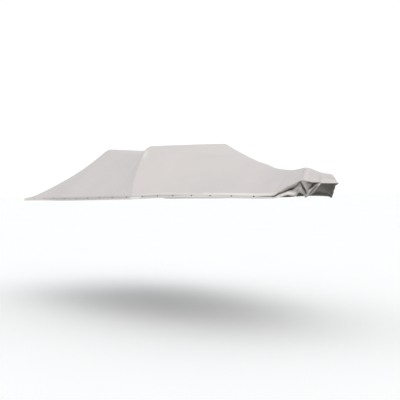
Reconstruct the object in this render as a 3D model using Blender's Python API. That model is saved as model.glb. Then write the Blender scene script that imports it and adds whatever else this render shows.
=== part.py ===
"""Fitted snap-on boat cover of canvas, stretched over a level aft ridge and a raked front ridge.

Metres. X runs from the stern edge to the bow, Y to port and Z up. The tables measure X from the stern edge
and heights from the snap line at the stern corners; the finished cover is then placed with its origin on
the underside of the cloth at the middle of the front ridge, the point that carries it.
"""
import math
from collections import namedtuple

import bmesh
import bpy
import numpy as np
from mathutils import Matrix, Vector

# Cloth
CLOTH = 0.002            # thickness of the canvas with its coating
LAP_GAP = 0.0005         # between the two layers of the lapped seam
SEAM_LAP = 0.030         # how far the forward panel overlaps the aft panel, measured along the edge
STBD = -1.0
PORT = 1.0

# Hem: from the corner where the cloth turns down a flat band, then flared out to the free edge
HemRow = namedtuple("HemRow", "out down")
SNAP_DROP = 0.016        # from the corner down to the snap line
BAND = 0.026             # height of the flat band that carries the snaps
HEM_ROWS = (
    HemRow(0.000, BAND),
    HemRow(0.003, 0.030),
    HemRow(0.007, 0.034),
    HemRow(0.011, 0.038),
    HemRow(0.015, 0.042),
)
NOSE_RAKE = 0.92         # at the bow tip the hem slopes forward by this much for each unit down

# Snap caps
SNAP_RADIUS = 0.0078
SNAP_HEIGHT = 0.0034
SNAP_RIM = 0.0012
SNAP_SHOULDER = (0.78, 0.82)  # where the dome rounds over, as shares of the radius and the height
SNAP_CROWN = 0.40        # the flat top's share of the radius
SNAP_SIDES = 12
SHARP_ANGLE = math.radians(40.0)
SNAP_GAP = 0.0004
SIDE_SNAPS = (
    0.26, 0.66, 1.03, 1.405, 1.76, 2.09, 2.41, 2.70, 2.96, 3.24, 3.47, 3.69, 3.93, 4.13, 4.33, 4.52, 4.67,
)
PORT_BOW_SNAPS = (4.80, 4.93, 5.05)
TRANSOM_SNAPS = (-0.84, -0.42, 0.0, 0.42, 0.84)

# Outline of the cover: half width, and height of the snap line
Outline = namedtuple("Outline", "x half_width height")
OUTLINE = (
    Outline(0.000, 1.080, 0.000),
    Outline(0.650, 1.113, 0.016),
    Outline(1.420, 1.139, 0.031),
    Outline(2.000, 1.150, 0.047),
    Outline(2.600, 1.130, 0.066),
    Outline(3.050, 1.065, 0.079),
    Outline(3.600, 0.940, 0.103),
    Outline(4.000, 0.800, 0.110),
    Outline(4.300, 0.640, 0.111),
    Outline(4.550, 0.455, 0.108),
    Outline(4.695, 0.349, 0.111),
    Outline(4.936, 0.178, 0.190),
    Outline(5.078, 0.079, 0.240),
    Outline(5.190, 0.000, 0.262),
)

# Ribs: lines over the cover from the foot at the corner, round a hip, to the crest on the centreline
Rib = namedtuple("Rib", "name foot_x hip_x hip_y hip_h crest_x crest_h roundness side_sag port_rise crease")
RIBS = (
    Rib("stern",       0.000, 0.000, 0.950, 0.026, 0.000, 0.036, 0.50, 0.000, 0.000, True),
    Rib("aft_low",     0.430, 0.430, 0.800, 0.218, 0.430, 0.225, 0.40, 0.005, 0.000, False),
    Rib("aft_high",    0.870, 0.870, 0.650, 0.419, 0.870, 0.420, 0.28, 0.010, 0.000, False),
    Rib("aft_ridge",   1.300, 1.300, 0.500, 0.652, 1.300, 0.636, 0.10, 0.020, 0.000, True),
    Rib("middle",      2.450, 2.120, 0.500, 0.600, 2.170, 0.600, 0.30, 0.025, 0.000, False),
    Rib("front_ridge", 3.050, 2.460, 0.560, 0.654, 2.580, 0.681, 0.10, 0.010, 0.049, True),
    Rib("slope_top",   3.400, 2.980, 0.370, 0.590, 3.000, 0.602, 0.30, 0.010, 0.034, False),
    Rib("slope_high",  3.800, 3.480, 0.184, 0.518, 3.480, 0.528, 0.45, 0.010, 0.018, False),
    Rib("slope_mid",   4.200, 3.980, 0.060, 0.436, 3.980, 0.448, 0.50, 0.010, 0.000, False),
    Rib("slope_low",   4.500, 4.290, 0.060, 0.368, 4.290, 0.380, 0.50, 0.005, 0.000, False),
    Rib("last_snap",   4.695, 4.550, 0.070, 0.354, 4.520, 0.365, 0.45, 0.000, 0.000, False),
    Rib("bow_hump",    4.936, 4.780, 0.050, 0.378, 4.740, 0.388, 0.40, 0.000, 0.000, True),
    Rib("bow_cap",     5.078, 5.020, 0.040, 0.320, 5.020, 0.330, 0.50, 0.000, 0.000, False),
    Rib("nose_top",    5.150, 5.135, 0.025, 0.316, 5.132, 0.322, 0.50, 0.000, 0.000, True),
    Rib("nose",        5.190, 5.190, 0.000, 0.278, 5.190, 0.278, 0.50, 0.000, 0.000, True),
)
AFT_RIDGE_X = 1.300
SEAM_X = 3.050
BOW_X = OUTLINE[-1].x
SLOPE_STEP = 0.004       # half the stretch over which the outline's direction is measured

# Loose flap at the starboard bow: the cloth is pulled up along a taut ridge and hangs from it in folds.
# Heights of the ridge and the free hem, and how far the cloth stands out at five levels down to that hem.
Fold = namedtuple("Fold", "foot_x ridge_h hem_h out_1 out_2 out_3 out_4 out_5")
FOLD_LEVELS = (0.16, 0.38, 0.60, 0.80, 1.00)
FOLDS = (
    Fold(4.732, 0.164, 0.097,  0.002, -0.004, -0.012, -0.002,  0.012),
    Fold(4.771, 0.187, 0.108,  0.003, -0.010, -0.006,  0.010,  0.020),
    Fold(4.809, 0.210, 0.120,  0.003, -0.016, -0.006,  0.014,  0.028),
    Fold(4.849, 0.227, 0.114,  0.002, -0.026, -0.020,  0.002,  0.020),
    Fold(4.874, 0.242, 0.107, -0.002, -0.034, -0.026, -0.012,  0.004),
    Fold(4.899, 0.257, 0.147, -0.012, -0.024, -0.012, -0.004,  0.000),
    Fold(4.918, 0.264, 0.141, -0.004, -0.018,  0.002,  0.008,  0.010),
    Fold(4.936, 0.267, 0.128,  0.006,  0.002, -0.020, -0.002,  0.006),
    Fold(4.952, 0.261, 0.096, -0.002,  0.006, -0.012, -0.012,  0.012),
    Fold(4.981, 0.254, 0.114, -0.018, -0.022,  0.002,  0.004,  0.014),
    Fold(5.014, 0.247, 0.139, -0.028, -0.036, -0.004,  0.008,  0.008),
    Fold(5.046, 0.250, 0.185, -0.022, -0.018,  0.004,  0.006,  0.004),
)
FLAP_START_X = 4.695
FLAP_END_X = 5.078
CAP_LIFT = 0.021         # how far the starboard hem of the bow cap rides up where the flap ends

# Grid of the sheets
SIDE_COLS = 6
CORNER_COLS = 5
TOP_COLS = 4
STERN_ROWS = 11
MIDDLE_ROWS = 13
SLOPE_ROWS = 15
NOSE_ROWS = 4
SAME_PLACE = 1e-6

CREST = next(rib for rib in RIBS if rib.name == "front_ridge")
ORIGIN = Vector((CREST.crest_x, 0.0, CREST.crest_h - CLOTH))


def clear_scene():
    """Remove every object that the file opened with."""
    for obj in list(bpy.data.objects):
        bpy.data.objects.remove(obj, do_unlink=True)


def make_material(name, srgb, roughness, metallic):
    """A plain Principled material from an sRGB colour in 0 to 255."""
    mat = bpy.data.materials.new(name)
    mat.use_nodes = True
    shader = mat.node_tree.nodes["Principled BSDF"]
    linear = [(c / 255.0) ** 2.2 for c in srgb]
    shader.inputs["Base Color"].default_value = (*linear, 1.0)
    shader.inputs["Roughness"].default_value = roughness
    shader.inputs["Metallic"].default_value = metallic
    mat.diffuse_color = (*linear, 1.0)
    return mat


def end_slopes(steps, creases):
    """Slopes left and right of each table row: monotone between rows, and free to break at a crease."""
    count = len(creases)
    left = [0.0] * count
    right = [0.0] * count
    for i in range(count):
        before = steps[i - 1] if i > 0 else steps[0]
        after = steps[i] if i < count - 1 else steps[-1]
        if creases[i]:
            left[i] = before
            right[i] = after
        elif before * after > 0.0:
            left[i] = right[i] = 2.0 * before * after / (before + after)
    return left, right


def follow(xs, values, creases, x):
    """Value at x of a smooth curve through a table's column."""
    steps = [(values[i + 1] - values[i]) / (xs[i + 1] - xs[i]) for i in range(len(xs) - 1)]
    left, right = end_slopes(steps, creases)
    i = min(max(int(np.searchsorted(xs, x, side="right")) - 1, 0), len(xs) - 2)
    span = xs[i + 1] - xs[i]
    t = min(max((x - xs[i]) / span, 0.0), 1.0)
    rise = t * t * (3.0 - 2.0 * t)
    leave = t * (1.0 - t) ** 2
    arrive = t * t * (t - 1.0)
    return values[i] + rise * (values[i + 1] - values[i]) + span * (leave * right[i] + arrive * left[i + 1])


def outline_at(x):
    """Half width of the cover and height of its snap line at x."""
    xs = [row.x for row in OUTLINE]
    ends = [i in (0, len(OUTLINE) - 1) for i in range(len(OUTLINE))]
    half_width = follow(xs, [row.half_width for row in OUTLINE], ends, x)
    height = follow(xs, [row.height for row in OUTLINE], ends, x)
    return half_width, height


def outward_at(x, side):
    """Level unit vector pointing straight out from the outline."""
    if x >= BOW_X:
        return Vector((1.0, 0.0, 0.0))
    low = max(x - SLOPE_STEP, 0.0)
    high = x + SLOPE_STEP
    slope = (outline_at(high)[0] - outline_at(low)[0]) / (high - low)
    return Vector((-slope, side, 0.0)).normalized()


def rib_at(x):
    """The rib whose foot is at x, read from the table of ribs."""
    xs = [rib.foot_x for rib in RIBS]
    creases = [rib.crease for rib in RIBS]
    read = {}
    for field in ("hip_x", "hip_y", "hip_h", "crest_x", "crest_h", "roundness", "side_sag", "port_rise"):
        read[field] = follow(xs, [getattr(rib, field) for rib in RIBS], creases, x)
    return Rib(name="", foot_x=x, crease=False, **read)


def fold_at(x):
    """The row of the flap's table at x, or None where the hem is snapped down."""
    return next((fold for fold in FOLDS if abs(fold.foot_x - x) < SAME_PLACE), None)


def foot_at(x, side):
    """Where the cloth turns down: the corner of the hem, or the flap's taut ridge."""
    half_width, height = outline_at(x)
    top = height + SNAP_DROP
    if side == STBD:
        fold = fold_at(x)
        if fold:
            top = fold.ridge_h
        elif x >= FLAP_END_X:
            top += CAP_LIFT * (BOW_X - x) / (BOW_X - FLAP_END_X)
    return Vector((x, side * half_width, top))


def hem_points(x, side, foot):
    """Points below the foot, from the free edge up."""
    out = outward_at(x, side)
    if x == 0.0:
        out.x -= 1.0
    fold = fold_at(x) if side == STBD else None
    if fold:
        drop = fold.ridge_h - fold.hem_h
        reliefs = (fold.out_1, fold.out_2, fold.out_3, fold.out_4, fold.out_5)
        rows = [HemRow(relief, drop * level) for relief, level in zip(reliefs, FOLD_LEVELS)]
    else:
        nose = max(0.0, (x - FLAP_END_X) / (BOW_X - FLAP_END_X))
        rows = [HemRow(row.out + nose * (NOSE_RAKE * row.down - row.out), row.down) for row in HEM_ROWS]
    return [foot + out * row.out - Vector((0.0, 0.0, row.down)) for row in reversed(rows)]


def sagged(start, end, t, sag):
    """A point along a taut line that hangs a little in the middle."""
    return start.lerp(end, t) - Vector((0.0, 0.0, 4.0 * sag * t * (1.0 - t)))


def half_section(rib, side, foot):
    """Points from the foot, up the side and round the hip, to the crest."""
    rise = rib.port_rise if side == PORT else 0.0
    hip = Vector((rib.hip_x, side * rib.hip_y, rib.hip_h + rise))
    crest = Vector((rib.crest_x, 0.0, rib.crest_h))
    turn_in = 1.0 - rib.roundness
    corner_start = sagged(foot, hip, turn_in, rib.side_sag)
    corner_end = hip.lerp(crest, rib.roundness)
    points = [sagged(foot, hip, turn_in * k / SIDE_COLS, rib.side_sag) for k in range(SIDE_COLS)]
    for k in range(CORNER_COLS):
        t = k / CORNER_COLS
        points.append(corner_start.lerp(hip, t).lerp(hip.lerp(corner_end, t), t))
    points += [corner_end.lerp(crest, k / TOP_COLS) for k in range(TOP_COLS)]
    return points, crest


def rib_points(x):
    """One rib from the starboard hem edge over the crest to the port hem edge."""
    rib = rib_at(x)
    halves = []
    for side in (STBD, PORT):
        foot = foot_at(x, side)
        section, crest = half_section(rib, side, foot)
        halves.append(hem_points(x, side, foot) + section)
    return halves[0] + [crest] + halves[1][::-1]


def rib_places():
    """The foot positions of every rib of the grid, and the index of the seam rib."""
    stern = [AFT_RIDGE_X * k / STERN_ROWS for k in range(STERN_ROWS)]
    middle = [AFT_RIDGE_X + (SEAM_X - AFT_RIDGE_X) * k / MIDDLE_ROWS for k in range(MIDDLE_ROWS)]
    lap_end = SEAM_X + SEAM_LAP
    slope = [lap_end + (FLAP_START_X - lap_end) * k / SLOPE_ROWS for k in range(SLOPE_ROWS + 1)]
    nose = [FLAP_END_X + (BOW_X - FLAP_END_X) * k / NOSE_ROWS for k in range(NOSE_ROWS + 1)]
    places = stern + middle + [SEAM_X] + slope + [fold.foot_x for fold in FOLDS] + nose
    return places, len(stern) + len(middle)


def transom_rows(stern_rib):
    """Rows of points of the hem across the stern, from its free edge up to the corner line."""
    hem = len(HEM_ROWS)
    across = stern_rib[hem:-hem]
    rows = []
    for k, row in enumerate(reversed(HEM_ROWS)):
        level = [point + Vector((-row.out, 0.0, -row.down)) for point in across]
        level[0] = stern_rib[k]
        level[-1] = stern_rib[-1 - k]
        rows.append(level)
    return rows + [across]


class Sheet:
    """A grid of points joined into a bmesh, in which equal points are one vertex."""

    def __init__(self, rows):
        self.bm = bmesh.new()
        self.verts = {}
        self.add_rows(rows)

    def vert(self, point):
        """The one vertex at a point."""
        key = tuple(round(c, 6) for c in point)
        if key not in self.verts:
            self.verts[key] = self.bm.verts.new(point)
        return self.verts[key]

    def add_rows(self, rows):
        """Faces between each row of points and the next."""
        for first, second in zip(rows, rows[1:]):
            for a, b, c, d in zip(first, second, second[1:], first[1:]):
                corners = list(dict.fromkeys(self.vert(point) for point in (a, b, c, d)))
                if len(corners) > 2:
                    self.bm.faces.new(corners)

    def lift(self, distance):
        """Move the whole sheet outwards, keeping its faces parallel."""
        self.bm.normal_update()
        shifts = [(v, v.normal * v.calc_shell_factor() * distance) for v in self.bm.verts]
        for vert, shift in shifts:
            vert.co += shift

    def trim(self, row):
        """Take away the points of one row and the faces that use them."""
        gone = list(dict.fromkeys(self.vert(point) for point in row))
        bmesh.ops.delete(self.bm, geom=gone, context="VERTS")

    def to_object(self, name, material):
        """The finished cloth, thickened inwards from its outer face."""
        mesh = bpy.data.meshes.new(name)
        self.bm.to_mesh(mesh)
        self.bm.free()
        mesh.materials.append(material)
        mesh.shade_smooth()
        obj = bpy.data.objects.new(name, mesh)
        bpy.context.collection.objects.link(obj)
        cloth = obj.modifiers.new("cloth", "SOLIDIFY")
        cloth.thickness = CLOTH
        cloth.offset = -1.0
        cloth.use_even_offset = True
        return obj


def make_panels(canvas):
    """The two cuts of canvas, the forward one lapped over the aft one at the seam."""
    places, seam = rib_places()
    ribs = [rib_points(x) for x in places]
    aft = Sheet(ribs[:seam + 2])
    aft.add_rows(transom_rows(ribs[0]))
    forward = Sheet(ribs[seam - 1:])
    forward.lift(CLOTH + LAP_GAP)
    forward.trim(ribs[seam - 1])
    return [aft.to_object("aft_panel", canvas), forward.to_object("forward_panel", canvas)]


def snap_mesh(metal):
    """One domed cap, lying on the XY plane with its dome towards +Z."""
    profile = (
        (SNAP_RADIUS, 0.0),
        (SNAP_RADIUS, SNAP_RIM),
        (SNAP_RADIUS * SNAP_SHOULDER[0], SNAP_HEIGHT * SNAP_SHOULDER[1]),
        (SNAP_RADIUS * SNAP_CROWN, SNAP_HEIGHT),
    )
    bm = bmesh.new()
    rings = []
    for radius, height in profile:
        ring = []
        for k in range(SNAP_SIDES):
            angle = 2.0 * math.pi * k / SNAP_SIDES
            ring.append(bm.verts.new((radius * math.cos(angle), radius * math.sin(angle), height)))
        rings.append(ring)
    for lower, upper in zip(rings, rings[1:]):
        for k in range(SNAP_SIDES):
            following = (k + 1) % SNAP_SIDES
            bm.faces.new((lower[k], lower[following], upper[following], upper[k]))
    bm.faces.new(rings[0][::-1])
    bm.faces.new(rings[-1])
    mesh = bpy.data.meshes.new("snap_cap")
    bm.to_mesh(mesh)
    bm.free()
    mesh.materials.append(metal)
    mesh.shade_smooth()
    mesh.set_sharp_from_angle(angle=SHARP_ANGLE)
    return mesh


def place_snap(name, mesh, point, outward, cover):
    """A cap on the hem's band, facing outward."""
    obj = bpy.data.objects.new(name, mesh)
    up = Vector((0.0, 0.0, 1.0))
    along = up.cross(outward)
    turn = Matrix((along, up, outward)).transposed()
    obj.rotation_euler = turn.to_euler()
    obj.location = point + outward * SNAP_GAP
    obj.parent = cover
    bpy.context.collection.objects.link(obj)


def side_snaps(side, name, xs, mesh, cover):
    """Caps along one side, each on the flat facet of the band between two ribs."""
    places = rib_places()[0]
    for number, x in enumerate(xs, start=1):
        i = int(np.searchsorted(places, x)) - 1
        start = foot_at(places[i], side)
        end = foot_at(places[i + 1], side)
        point = start.lerp(end, (x - start.x) / (end.x - start.x))
        chord = end - start
        outward = Vector((-side * chord.y, side * chord.x, 0.0)).normalized()
        layers = CLOTH + LAP_GAP if x > SEAM_X else 0.0
        point += outward * layers - Vector((0.0, 0.0, SNAP_DROP))
        place_snap(f"{name}_{number:02d}", mesh, point, outward, cover)


def make_snaps(cover):
    """Every cap of the hem."""
    metal = make_material("snap_metal", (74, 74, 72), 0.35, 0.8)
    mesh = snap_mesh(metal)
    side_snaps(STBD, "snap_stbd", SIDE_SNAPS, mesh, cover)
    side_snaps(PORT, "snap_port", SIDE_SNAPS + PORT_BOW_SNAPS, mesh, cover)
    across = transom_rows(rib_points(0.0))[-1]
    for number, y in enumerate(TRANSOM_SNAPS, start=1):
        height = float(np.interp(y, [point.y for point in across], [point.z for point in across]))
        place_snap(f"snap_transom_{number:02d}", mesh, Vector((0.0, y, height - SNAP_DROP)),
                   Vector((-1.0, 0.0, 0.0)), cover)


def main():
    """Build the cover, with its origin under the middle of the front ridge."""
    clear_scene()
    cover = bpy.data.objects.new("cover", None)
    cover.location = -ORIGIN
    bpy.context.collection.objects.link(cover)
    canvas = make_material("canvas", (213, 210, 205), 0.85, 0.0)
    for panel in make_panels(canvas):
        panel.parent = cover
    make_snaps(cover)


main()
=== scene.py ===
"""Dressed model of a fitted snap-on boat cover: canvas panels, stitching and snap caps.

Metres. The tables measure X from the stern edge and heights from the snap line at the stern corners, as the
CAD part does; CoverForm.origin then brings every point to the part's own frame.
"""
import logging
import math
from collections.abc import Iterable
from dataclasses import dataclass, field
from enum import Enum
from functools import cache
from typing import NamedTuple

import bmesh
import bpy
import numpy as np
from bpy.types import ID, Material, Mesh, Node, NodeSocket, NodeTree, Object, bpy_prop_collection
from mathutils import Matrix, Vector


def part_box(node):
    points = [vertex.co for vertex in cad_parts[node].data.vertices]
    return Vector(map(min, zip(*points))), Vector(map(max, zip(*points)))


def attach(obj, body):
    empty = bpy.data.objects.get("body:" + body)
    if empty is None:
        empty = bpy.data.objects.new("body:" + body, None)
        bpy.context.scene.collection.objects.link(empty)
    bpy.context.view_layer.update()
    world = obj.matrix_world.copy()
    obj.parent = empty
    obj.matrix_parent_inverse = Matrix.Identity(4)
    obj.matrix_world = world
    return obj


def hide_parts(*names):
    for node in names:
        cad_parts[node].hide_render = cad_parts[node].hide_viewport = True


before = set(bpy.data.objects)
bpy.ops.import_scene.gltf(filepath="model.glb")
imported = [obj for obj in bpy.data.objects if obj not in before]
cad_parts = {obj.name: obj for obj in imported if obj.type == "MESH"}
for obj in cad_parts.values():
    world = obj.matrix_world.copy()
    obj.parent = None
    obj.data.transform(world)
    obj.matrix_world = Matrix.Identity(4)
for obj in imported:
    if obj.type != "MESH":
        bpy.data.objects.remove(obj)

Triple = tuple[float, float, float]
Pairs = tuple[tuple[float, float], ...]
log = logging.getLogger("boat_cover")
UP = Vector((0.0, 0.0, 1.0))
BODY = "root"
TONE = "tone"
OUTWARD = "outward"
CLOTH_MAP = "cloth"
SAME_POINT = 1e-5
TINY = 1e-9
SLUB_NOISE = {"Scale": 140.0, "Detail": 3.0, "Roughness": 0.6}
STREAKS_PER_METRE = (260.0, 9.0, 1.0)
STREAK_NOISE = {"Scale": 1.0, "Detail": 2.0}
PATCH_DETAIL = 4.0
PATCH_RANGE = {"From_Min": 0.35, "From_Max": 0.70}
MIX_INPUTS = (0, 6, 7)
MIX_RESULT = 2
SRGB_WHITE = 255.0
SRGB_POWER = 2.2


class Side(Enum):
    """The two sides of the cover, as the sign of Y."""

    STARBOARD = -1.0
    PORT = 1.0


class Outline(NamedTuple):
    """Outline of the cover: half width, and height of the snap line."""

    x: float
    half_width: float
    height: float


class Rib(NamedTuple):
    """A line over the cover from its foot at the corner, round a hip, to the crest on the centreline."""

    foot_x: float
    hip_x: float
    hip_y: float
    hip_h: float
    crest_x: float
    crest_h: float
    roundness: float
    side_sag: float
    port_rise: float = 0.0
    crease: bool = False


class HemRow(NamedTuple):
    """A point of the hem, out from and down from the corner where the cloth turns down."""

    out: float
    down: float


class Fold(NamedTuple):
    """A line down the loose flap: its taut ridge, its free hem, and how far it stands out at each level."""

    foot_x: float
    ridge_h: float
    hem_h: float
    outs: tuple[float, ...]


class Crease(NamedTuple):
    """A soft ridge (height above 0) or trough (below 0) along a path.

    Each point of the path is a foot position and a distance up from the corner along the cloth. The tone is
    painted shade along the path, or a painted highlight where it is below 0.
    """

    path: Pairs
    width: float
    height: float
    tone: float = 0.0


class Zone(Enum):
    """The parts of the cloth that each get their own painted shade and painted light."""

    BODY = "above the corner"
    HEM = "down the hem"
    SNAP_LINE = "along the snaps"
    FLAP = "down the loose flap"


OUTLINE = (
    Outline(0.000, 1.080, 0.000),
    Outline(0.650, 1.113, 0.016),
    Outline(1.420, 1.139, 0.031),
    Outline(2.000, 1.150, 0.047),
    Outline(2.600, 1.130, 0.066),
    Outline(3.050, 1.065, 0.079),
    Outline(3.600, 0.940, 0.103),
    Outline(4.000, 0.800, 0.110),
    Outline(4.300, 0.640, 0.111),
    Outline(4.550, 0.455, 0.108),
    Outline(4.695, 0.349, 0.111),
    Outline(4.936, 0.178, 0.190),
    Outline(5.078, 0.079, 0.240),
    Outline(5.190, 0.000, 0.262),
)
RIBS = (
    Rib(0.000, 0.000, 0.950, 0.034, 0.000, 0.046, 0.50, 0.000, crease=True),
    Rib(0.430, 0.430, 0.800, 0.231, 0.430, 0.238, 0.40, 0.005),
    Rib(0.870, 0.870, 0.650, 0.425, 0.870, 0.426, 0.28, 0.010),
    Rib(1.300, 1.300, 0.500, 0.652, 1.300, 0.641, 0.07, 0.020, crease=True),
    Rib(2.450, 2.120, 0.500, 0.600, 2.170, 0.600, 0.30, 0.025),
    Rib(3.050, 2.485, 0.560, 0.654, 2.605, 0.681, 0.10, 0.010, 0.052, crease=True),
    Rib(3.400, 2.980, 0.370, 0.590, 3.000, 0.602, 0.30, 0.010, 0.041),
    Rib(3.800, 3.480, 0.184, 0.518, 3.480, 0.528, 0.45, 0.010, 0.023),
    Rib(4.200, 3.980, 0.060, 0.436, 3.980, 0.448, 0.50, 0.010),
    Rib(4.500, 4.290, 0.060, 0.368, 4.290, 0.380, 0.50, 0.005),
    Rib(4.695, 4.550, 0.070, 0.354, 4.520, 0.365, 0.45, 0.000),
    Rib(4.936, 4.780, 0.050, 0.378, 4.740, 0.388, 0.40, 0.000, crease=True),
    Rib(5.078, 5.020, 0.040, 0.323, 5.020, 0.333, 0.50, 0.000),
    Rib(5.150, 5.135, 0.025, 0.316, 5.132, 0.322, 0.50, 0.000, crease=True),
    Rib(5.190, 5.190, 0.000, 0.278, 5.190, 0.278, 0.50, 0.000, crease=True),
)
HEM = (
    HemRow(0.000, 0.026),
    HemRow(0.003, 0.030),
    HemRow(0.007, 0.034),
    HemRow(0.011, 0.038),
    HemRow(0.015, 0.042),
)
FOLD_LEVELS = (0.16, 0.38, 0.60, 0.80, 1.00)
FOLDS = (
    Fold(4.732, 0.164, 0.097, (0.002, -0.004, -0.012, -0.002, 0.012)),
    Fold(4.771, 0.187, 0.108, (0.003, -0.010, -0.006, 0.010, 0.020)),
    Fold(4.809, 0.210, 0.120, (0.003, -0.016, -0.006, 0.014, 0.028)),
    Fold(4.849, 0.227, 0.114, (0.002, -0.026, -0.020, 0.002, 0.020)),
    Fold(4.874, 0.242, 0.107, (-0.002, -0.034, -0.026, -0.012, 0.004)),
    Fold(4.899, 0.257, 0.147, (-0.012, -0.024, -0.012, -0.004, 0.000)),
    Fold(4.918, 0.264, 0.141, (-0.004, -0.018, 0.002, 0.008, 0.010)),
    Fold(4.936, 0.267, 0.128, (0.006, 0.002, -0.020, -0.002, 0.006)),
    Fold(4.952, 0.261, 0.096, (-0.002, 0.006, -0.012, -0.012, 0.012)),
    Fold(4.981, 0.254, 0.114, (-0.018, -0.022, 0.002, 0.004, 0.014)),
    Fold(5.014, 0.247, 0.139, (-0.028, -0.036, -0.004, 0.008, 0.008)),
    Fold(5.046, 0.247, 0.185, (-0.022, -0.018, 0.004, 0.006, 0.004)),
    Fold(5.068, 0.246, 0.214, (-0.006, -0.002, 0.006, 0.010, 0.012)),
)
# A crease's tone is painted shade along it, or a painted highlight where below 0: darker in troughs and fold
# valleys, lighter on ridges.
CREASES = {
    Side.STARBOARD: (
        Crease(((3.02, 0.92), (2.72, 0.06)), 0.030, -0.0050, 0.02),
        Crease(((3.12, 0.90), (3.62, 0.10)), 0.045, 0.0030),
        Crease(((2.20, 0.62), (1.42, 0.20)), 0.050, -0.0030),
        Crease(((1.26, 0.80), (0.62, 0.12)), 0.040, -0.0025),
        # Painted highlight on the roll of cloth over the windshield's corner.
        Crease(((3.070, 0.74), (3.065, 0.88)), 0.022, 0.0010, -0.40),
        # Painted highlights along the hem's corner, and a painted highlight on the flared hem under the seam.
        Crease(((3.05, 0.006), (4.20, 0.006)), 0.010, 0.0, -0.35),
        Crease(((3.02, -0.027), (3.10, -0.029), (3.22, -0.027)), 0.011, 0.0, -1.10),
        Crease(((4.05, 0.005), (4.72, 0.004)), 0.012, 0.0, -0.85),
        # Painted shade just aft of the windshield crease.
        Crease(((2.97, 0.10), (2.96, 0.50), (2.99, 0.84)), 0.050, 0.0, 0.05),
        Crease(((4.40, 0.16), (4.62, 0.03)), 0.018, -0.0045),
        Crease(((4.48, 0.24), (4.66, 0.08)), 0.022, 0.0040),
        # Painted shade in the troughs below, painted highlight on the ridge of the last crease.
        Crease(((4.54, 0.25), (4.588, 0.154), (4.630, 0.07)), 0.012, -0.0030, 0.05),
        Crease(((4.72, 0.14), (4.88, 0.05)), 0.020, -0.0035),
        Crease(((4.94, 0.30), (4.925, 0.14), (4.915, 0.00)), 0.016, -0.0030, 0.07),
        Crease(((4.968, 0.30), (4.960, 0.10), (4.940, -0.01)), 0.016, 0.0035, -0.14),
        # From here on, the folds of the loose flap, with painted shade in their valleys and under the ridge,
        # and painted highlights on their ridges and rims.
        Crease(((4.56, -0.016), (4.690, -0.016), (4.750, -0.028)), 0.006, -0.0010, 0.50),
        Crease(((4.670, -0.012), (4.741, -0.036), (4.797, -0.050), (4.850, -0.056)), 0.010, -0.0110, 0.90),
        Crease(((4.800, -0.046), (4.844, -0.050), (4.876, -0.036), (4.905, -0.010)), 0.012, -0.0090, 0.50),
        Crease(((4.760, -0.022), (4.820, -0.030), (4.870, -0.020)), 0.016, 0.0, 0.22),
        Crease(
            ((4.711, -0.052), (4.749, -0.062), (4.795, -0.078), (4.831, -0.098), (4.868, -0.132)),
            0.015, 0.0080, -1.05,
        ),
        Crease(((4.855, -0.080), (4.890, -0.066), (4.905, -0.080), (4.915, -0.110)), 0.012, 0.0060, -0.25),
        Crease(((4.903, -0.002), (4.922, -0.055), (4.940, -0.098), (4.957, -0.135)), 0.0070, -0.0080, 0.65),
        Crease(((4.922, -0.004), (4.952, -0.056), (4.972, -0.115)), 0.008, 0.0070, -0.25),
        Crease(((4.960, -0.014), (5.000, -0.016), (5.035, -0.010)), 0.014, 0.0, 0.30),
        Crease(((5.064, -0.004), (5.040, -0.016), (5.005, -0.040), (4.975, -0.095)), 0.0075, -0.0080, 0.60),
        Crease(((5.066, -0.022), (5.030, -0.058), (4.984, -0.115), (4.948, -0.165)), 0.009, 0.0080, -0.45),
        Crease(((5.050, -0.060), (5.020, -0.095), (4.980, -0.150)), 0.008, -0.0030, 0.30),
    ),
    Side.PORT: (
        # Painted shade in the first trough, painted highlights along the hem's corner.
        Crease(((3.00, 0.92), (2.70, 0.06)), 0.030, -0.0050, 0.02),
        Crease(((3.12, 0.90), (3.70, 0.10)), 0.045, 0.0030),
        Crease(((3.05, 0.006), (4.20, 0.006)), 0.010, 0.0, -0.35),
        Crease(((4.05, 0.005), (4.95, 0.004)), 0.012, 0.0, -0.60),
        Crease(((2.10, 0.60), (1.40, 0.18)), 0.050, -0.0030),
        Crease(((1.22, 0.78), (0.55, 0.14)), 0.040, -0.0030),
        Crease(((4.30, 0.30), (4.70, 0.06)), 0.030, 0.0035),
    ),
}
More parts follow.
